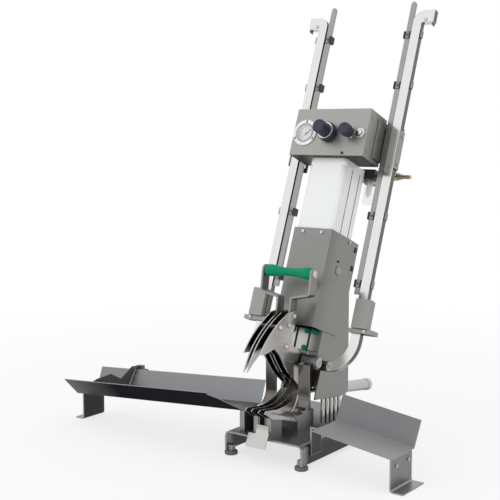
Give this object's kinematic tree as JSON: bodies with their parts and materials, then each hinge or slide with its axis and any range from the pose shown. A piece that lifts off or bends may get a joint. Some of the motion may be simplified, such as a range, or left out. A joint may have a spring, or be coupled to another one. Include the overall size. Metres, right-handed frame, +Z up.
{
  "type": "sausage clipper",
  "caption": "Bench-top pneumatic sausage clipper with a leaning cylinder column, tall clip magazines, a gathering lever with a green grip, and infeed and outfeed trays.",
  "frame": {"origin": "on the bench, under the middle of the machine's bounding box", "axes": "+X to the operator's right, +Y to the back, +Z up"},
  "size_m": [0.9442, 0.5342, 1.0352],
  "materials": {
    "grey_sheet": "glass-bead blasted stainless sheet",
    "tray_sheet": "brushed stainless sheet",
    "polished_steel": "polished stainless steel",
    "satin_bar": "satin stainless bar",
    "pale_tube": "pale anodised extrusion",
    "dark_steel": "dark oiled steel",
    "black_plastic": "black moulded plastic",
    "rubber": "dark rubber",
    "green_plastic": "green moulded plastic",
    "navy_plastic": "dark blue moulded plastic",
    "white_enamel": "white enamel",
    "clear": "clear polycarbonate",
    "nickel_brass": "nickel-plated brass"
  },
  "bodies": {
    "frame": {"base_plate": "grey_sheet", "levelling_feet": "rubber", "side_plates": "grey_sheet", "support_pillars": "polished_steel", "rear_plate": "grey_sheet", "cylinder_caps": "pale_tube", "cylinder_barrel": "pale_tube", "front_cover": "grey_sheet", "machine_screws": "polished_steel", "cover_plugs": "grey_sheet", "control_box": "grey_sheet", "control_back": "grey_sheet", "gauge_bezel": "white_enamel", "gauge_dial": "white_enamel", "gauge_glass": "clear", "regulator_body": "navy_plastic", "panel_bushes": "polished_steel", "filter_head": "black_plastic", "filter_bowl": "clear", "air_inlet": "nickel_brass", "magazine_rails": "polished_steel", "guide_bars": "satin_bar", "clamp_blocks": "black_plastic", "rail_clips": "polished_steel", "magazine_brackets": "grey_sheet", "rail_stops": "grey_sheet", "punch_guide": "grey_sheet", "punch_covers": "tray_sheet", "grease_caps": "green_plastic", "pivot_bosses": "dark_steel", "pivot_shaft": "polished_steel", "fixed_plates": "polished_steel", "product_guides": "polished_steel", "die_block": "grey_sheet", "dies": "polished_steel", "knife_cylinder": "polished_steel", "waste_chute": "tray_sheet", "infeed_tray": "tray_sheet", "outfeed_tray": "tray_sheet", "tray_legs": "tray_sheet", "tray_brackets": "grey_sheet"},
    "lever": {"lever_hub": "dark_steel", "lever_fork": "grey_sheet", "gathering_plates": "polished_steel", "plate_bolts": "polished_steel", "grip_spindle": "polished_steel"},
    "grip": {"hand_grip": "green_plastic"},
    "punch_drive": {"piston": "polished_steel", "piston_rod": "polished_steel", "punch_crosshead": "grey_sheet", "punches": "polished_steel"},
    "knife": {"knife_blade": "polished_steel"},
    "weight_left": {"clip_weight_left": "grey_sheet"},
    "weight_right": {"clip_weight_right": "grey_sheet"},
    "regulator": {"regulator_knob": "navy_plastic"},
    "valve": {"valve_knob": "navy_plastic"},
    "button": {"push_button": "polished_steel"},
    "needle": {"gauge_needle": "black_plastic"},
    "stop": {"length_stop": "grey_sheet"},
    "stop_screw": {"stop_knob": "black_plastic"}
  },
  "joints": [
    {"name": "lever_swing", "type": "hinge", "parent": "frame", "child": "lever", "pos_m": [0.12288, -0.07906, 0.211], "axis": [1, 0, 0], "range_deg": [0, 45], "stiffness_Nm_per_rad": 2, "springref_deg": -57.3},
    {"name": "grip_spin", "type": "hinge", "parent": "lever", "child": "grip", "pos_m": [0.12288, -0.10056, 0.414], "axis": [1, 0, 0], "continuous": true},
    {"name": "punch_stroke", "type": "slide", "parent": "frame", "child": "punch_drive", "axis": [0, -0.3551, -0.9348], "range_m": [0, 0.065]},
    {"name": "knife_stroke", "type": "slide", "parent": "frame", "child": "knife", "axis": [0, -0.9903, 0.1392], "range_m": [0, 0.06]},
    {"name": "weight_left_slide", "type": "slide", "parent": "frame", "child": "weight_left", "axis": [0, 0.3551, 0.9348], "range_m": [0, 0.3]},
    {"name": "weight_right_slide", "type": "slide", "parent": "frame", "child": "weight_right", "axis": [0, 0.3551, 0.9348], "range_m": [0, 0.3]},
    {"name": "regulator_turn", "type": "hinge", "parent": "frame", "child": "regulator", "pos_m": [0.12088, 0.04877, 0.7288], "axis": [0, 0.9348, -0.3551], "continuous": true},
    {"name": "valve_turn", "type": "hinge", "parent": "frame", "child": "valve", "pos_m": [0.17888, 0.04877, 0.7288], "axis": [0, 0.9348, -0.3551], "range_deg": [0, 90]},
    {"name": "button_press", "type": "slide", "parent": "frame", "child": "button", "axis": [0, 0.9348, -0.3551], "range_m": [0, 0.003], "stiffness_N_per_m": 400, "springref_m": -0.002},
    {"name": "needle_turn", "type": "hinge", "parent": "frame", "child": "needle", "pos_m": [0.05588, 0.0656, 0.72241], "axis": [0, 0.9348, -0.3551], "range_deg": [-135, 135], "stiffness_Nm_per_rad": 0.0005},
    {"name": "stop_slide", "type": "slide", "parent": "frame", "child": "stop", "axis": [0.9971, 0, 0.0767], "range_m": [-0.1, 0.25]},
    {"name": "stop_screw_turn", "type": "hinge", "parent": "stop", "child": "stop_screw", "pos_m": [-0.33671, -0.08806, 0.11336], "axis": [0, 1, 0], "range_deg": [0, 180]}
  ]
}
